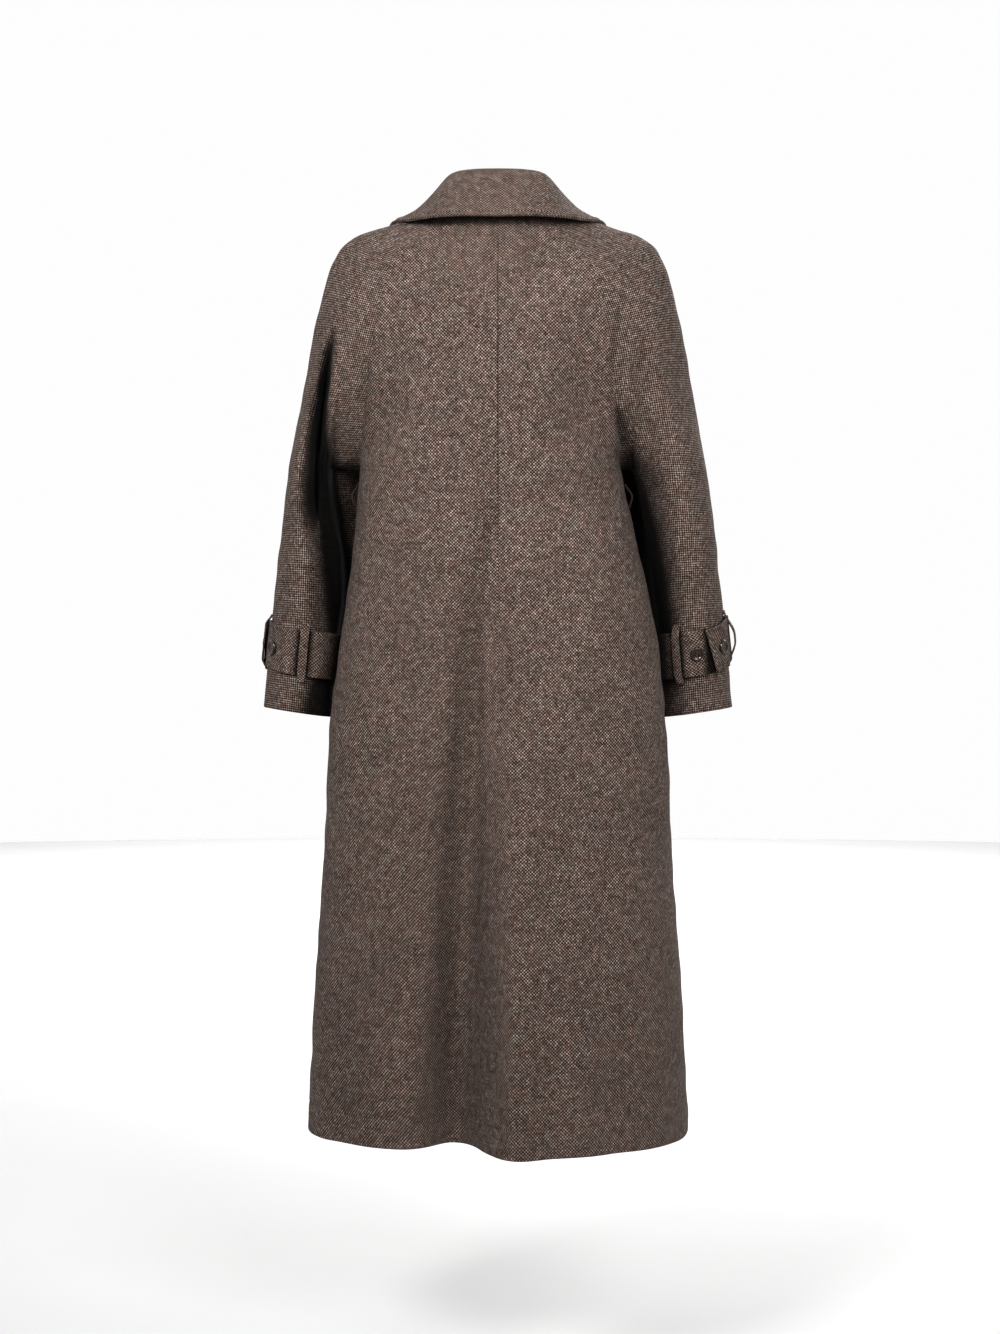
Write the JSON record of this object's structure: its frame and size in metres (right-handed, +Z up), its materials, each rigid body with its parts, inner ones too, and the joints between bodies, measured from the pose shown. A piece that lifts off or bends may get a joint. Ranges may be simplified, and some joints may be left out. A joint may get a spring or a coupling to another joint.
{
  "type": "long wool coat with belted cuffs",
  "caption": "Long flared tweed coat, filled out and hollow, with a wide turned-down collar, sleeves cut in one with the body, and buttoned straps in loops round its cuffs.",
  "frame": {"origin": "middle of the wearer's shoulders, level with the base of the neck, where the coat hangs from them", "axes": "+Z up along the coat's length, +Y out of its back, -Y out of its buttoned front, +X to the wearer's left"},
  "size_m": [0.6084, 0.4263, 1.1954],
  "materials": {
    "tweed": "woven brown and cream tweed",
    "tweed_collar": "woven brown and cream tweed",
    "tweed_trim": "woven brown and cream tweed",
    "horn_button": "polished dark brown horn"
  },
  "bodies": {
    "root": {"back_left": "tweed", "back_right": "tweed", "front_left": "tweed", "front_right": "tweed", "collar": "tweed_collar", "cuff_strap_left": "tweed_trim", "cuff_strap_right": "tweed_trim", "cuff_loop_left_1": "tweed_trim", "cuff_loop_left_2": "tweed_trim", "cuff_loop_left_3": "tweed_trim", "cuff_loop_right_1": "tweed_trim", "cuff_loop_right_2": "tweed_trim", "cuff_loop_right_3": "tweed_trim", "waist_loop_left": "tweed_trim", "waist_loop_right": "tweed_trim", "cuff_button_left_1": "horn_button", "cuff_button_left_2": "horn_button", "cuff_button_right_1": "horn_button", "cuff_button_right_2": "horn_button", "front_button_1": "horn_button", "front_button_2": "horn_button", "front_button_3": "horn_button", "front_button_4": "horn_button", "front_button_5": "horn_button"}
  },
  "joints": []
}
